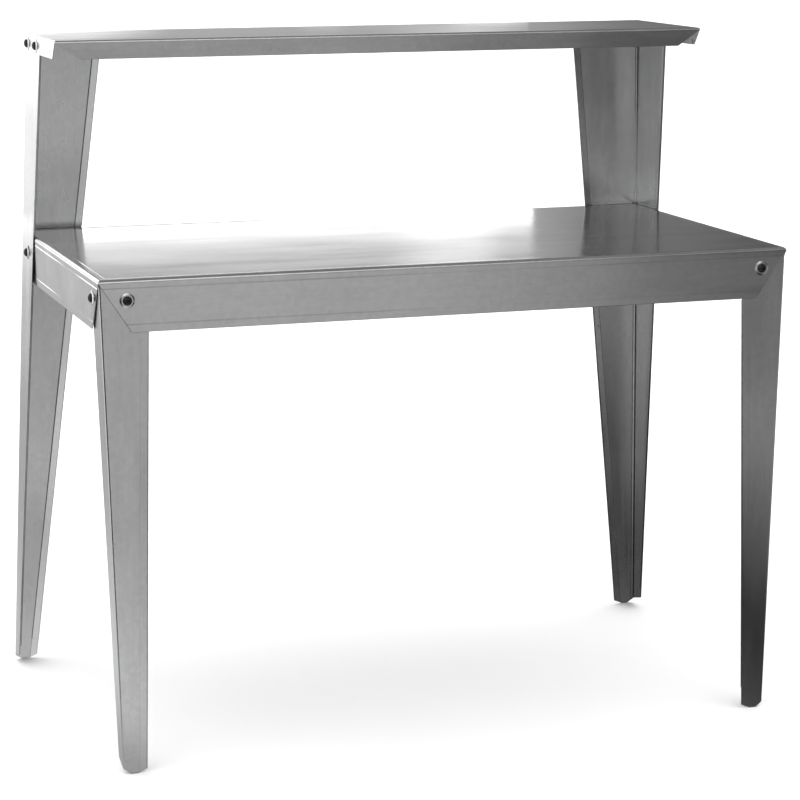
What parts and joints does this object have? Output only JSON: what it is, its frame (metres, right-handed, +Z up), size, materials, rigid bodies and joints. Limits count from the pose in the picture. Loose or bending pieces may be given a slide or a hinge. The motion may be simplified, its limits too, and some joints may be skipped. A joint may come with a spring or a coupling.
{
  "type": "potting bench",
  "caption": "Folded galvanised-steel potting bench: a deep-skirted work top on tapered angle legs, with a narrow upper shelf bolted between the full-height rear posts.",
  "frame": {"origin": "on the floor, under the middle of the bench's bounding box", "axes": "+X to the bench's right as seen from the front, +Y from the front to the rear, +Z up"},
  "size_m": [1.1738, 0.6662, 1.095],
  "materials": {
    "galvanised_sheet": "smooth galvanised sheet steel, soft sheen",
    "black_screw": "black coated, satin",
    "zinc_washer": "bright zinc plated",
    "zinc_nut": "bright zinc plated"
  },
  "bodies": {
    "root": {"work_top": "galvanised_sheet", "upper_shelf": "galvanised_sheet", "front_left_leg": "galvanised_sheet", "front_right_leg": "galvanised_sheet", "rear_left_post": "galvanised_sheet", "rear_right_post": "galvanised_sheet", "front_left_screws": "black_screw", "front_left_washers": "zinc_washer", "front_left_nuts": "zinc_nut", "front_right_screws": "black_screw", "front_right_washers": "zinc_washer", "front_right_nuts": "zinc_nut", "rear_left_screws": "black_screw", "rear_left_washers": "zinc_washer", "rear_left_nuts": "zinc_nut", "rear_right_screws": "black_screw", "rear_right_washers": "zinc_washer", "rear_right_nuts": "zinc_nut", "shelf_left_screws": "black_screw", "shelf_left_washers": "zinc_washer", "shelf_left_nuts": "zinc_nut", "shelf_right_screws": "black_screw", "shelf_right_washers": "zinc_washer", "shelf_right_nuts": "zinc_nut"}
  },
  "joints": []
}
